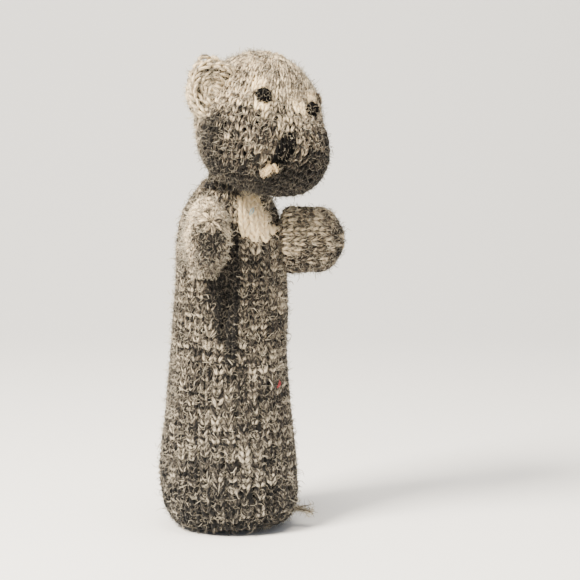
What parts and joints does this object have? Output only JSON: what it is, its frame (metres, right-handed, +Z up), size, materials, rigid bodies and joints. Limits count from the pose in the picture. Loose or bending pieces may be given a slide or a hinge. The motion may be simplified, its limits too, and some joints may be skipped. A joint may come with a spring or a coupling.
{
  "type": "knitted finger puppet",
  "caption": "Hand-knitted bear-eared finger puppet: a wool sleeve that bends with the finger, stuffed nodding head, curled ears and stubby arms.",
  "frame": {"origin": "centre of the finger opening, level with the bottom of the rolled hem", "axes": "+Z up the sleeve towards the head, -Y is the front (face and chest), +X is the puppet's left"},
  "size_m": [0.0427, 0.0444, 0.1175],
  "materials": {
    "marled_wool": "fuzzy two-ply knitting wool, marled grey and cream",
    "cream_wool": "fuzzy cream knitting wool",
    "black_wool": "black wool embroidery thread",
    "wadding": "loose white wadding, hidden"
  },
  "bodies": {
    "hem": {"sleeve_lower": "marled_wool", "hem_roll": "marled_wool", "hem_yarn_tail": "marled_wool"},
    "waist": {"sleeve_middle": "marled_wool"},
    "chest": {"sleeve_upper": "marled_wool", "chest_bib": "cream_wool"},
    "neck": {"neck_gather": "marled_wool", "neck_thread": "black_wool"},
    "head": {"head_cover": "marled_wool", "head_stuffing": "wadding", "crown_gather": "marled_wool", "right_eye": "black_wool", "left_eye": "black_wool", "right_eye_patch": "cream_wool", "left_eye_patch": "cream_wool", "nose": "black_wool", "chin_tuft": "cream_wool"},
    "right_ear": {"right_ear": "marled_wool"},
    "left_ear": {"left_ear": "marled_wool"},
    "right_shoulder": {"right_arm_root": "marled_wool"},
    "right_arm": {"right_arm_cover": "marled_wool", "right_arm_stuffing": "wadding", "right_paw_gather": "marled_wool"},
    "left_shoulder": {"left_arm_root": "marled_wool"},
    "left_arm": {"left_arm_cover": "marled_wool", "left_arm_stuffing": "wadding", "left_paw_gather": "marled_wool"}
  },
  "joints": [
    {"name": "finger_bend", "type": "hinge", "parent": "hem", "child": "waist", "pos_m": [0, 0, 0.034], "axis": [1, 0, 0], "range_deg": [0, 45], "stiffness_Nm_per_rad": 0.08},
    {"name": "fingertip_bend", "type": "hinge", "parent": "waist", "child": "chest", "pos_m": [0, 0, 0.058], "axis": [1, 0, 0], "range_deg": [0, 30], "stiffness_Nm_per_rad": 0.05},
    {"name": "neck_turn", "type": "hinge", "parent": "chest", "child": "neck", "pos_m": [0, -0.003, 0.0832], "axis": [0, 0, 1], "range_deg": [-35, 35], "stiffness_Nm_per_rad": 0.02},
    {"name": "head_nod", "type": "hinge", "parent": "neck", "child": "head", "pos_m": [0, -0.003, 0.0884], "axis": [1, 0, 0], "range_deg": [-20, 9], "stiffness_Nm_per_rad": 0.02},
    {"name": "right_ear_fold", "type": "hinge", "parent": "head", "child": "right_ear", "pos_m": [-0.01088, -0.01277, 0.1073], "axis": [0.4475, 0.0544, 0.8926], "range_deg": [-8, 45], "stiffness_Nm_per_rad": 0.0003},
    {"name": "left_ear_fold", "type": "hinge", "parent": "head", "child": "left_ear", "pos_m": [0.01782, -0.00316, 0.10014], "axis": [-0.0334, 0.0843, -0.9959], "range_deg": [-20, 45], "stiffness_Nm_per_rad": 0.0003},
    {"name": "right_arm_swing", "type": "hinge", "parent": "chest", "child": "right_shoulder", "pos_m": [-0.01143, -0.00893, 0.0705], "axis": [0, 0, 1], "range_deg": [-50, 15], "stiffness_Nm_per_rad": 0.001},
    {"name": "right_arm_lift", "type": "hinge", "parent": "right_shoulder", "child": "right_arm", "pos_m": [-0.01143, -0.00893, 0.0705], "axis": [-0.9511, 0.309, 0], "range_deg": [-42, 2], "stiffness_Nm_per_rad": 0.001},
    {"name": "left_arm_swing", "type": "hinge", "parent": "chest", "child": "left_shoulder", "pos_m": [0.01143, -0.00893, 0.0705], "axis": [0, 0, 1], "range_deg": [-45, 20], "stiffness_Nm_per_rad": 0.001},
    {"name": "left_arm_lift", "type": "hinge", "parent": "left_shoulder", "child": "left_arm", "pos_m": [0.01143, -0.00893, 0.0705], "axis": [-0.4695, -0.8829, 0], "range_deg": [-22, 14], "stiffness_Nm_per_rad": 0.001}
  ],
  "couplings": [
    {"joint": "fingertip_bend", "follows": "finger_bend", "ratio": 0.66}
  ]
}
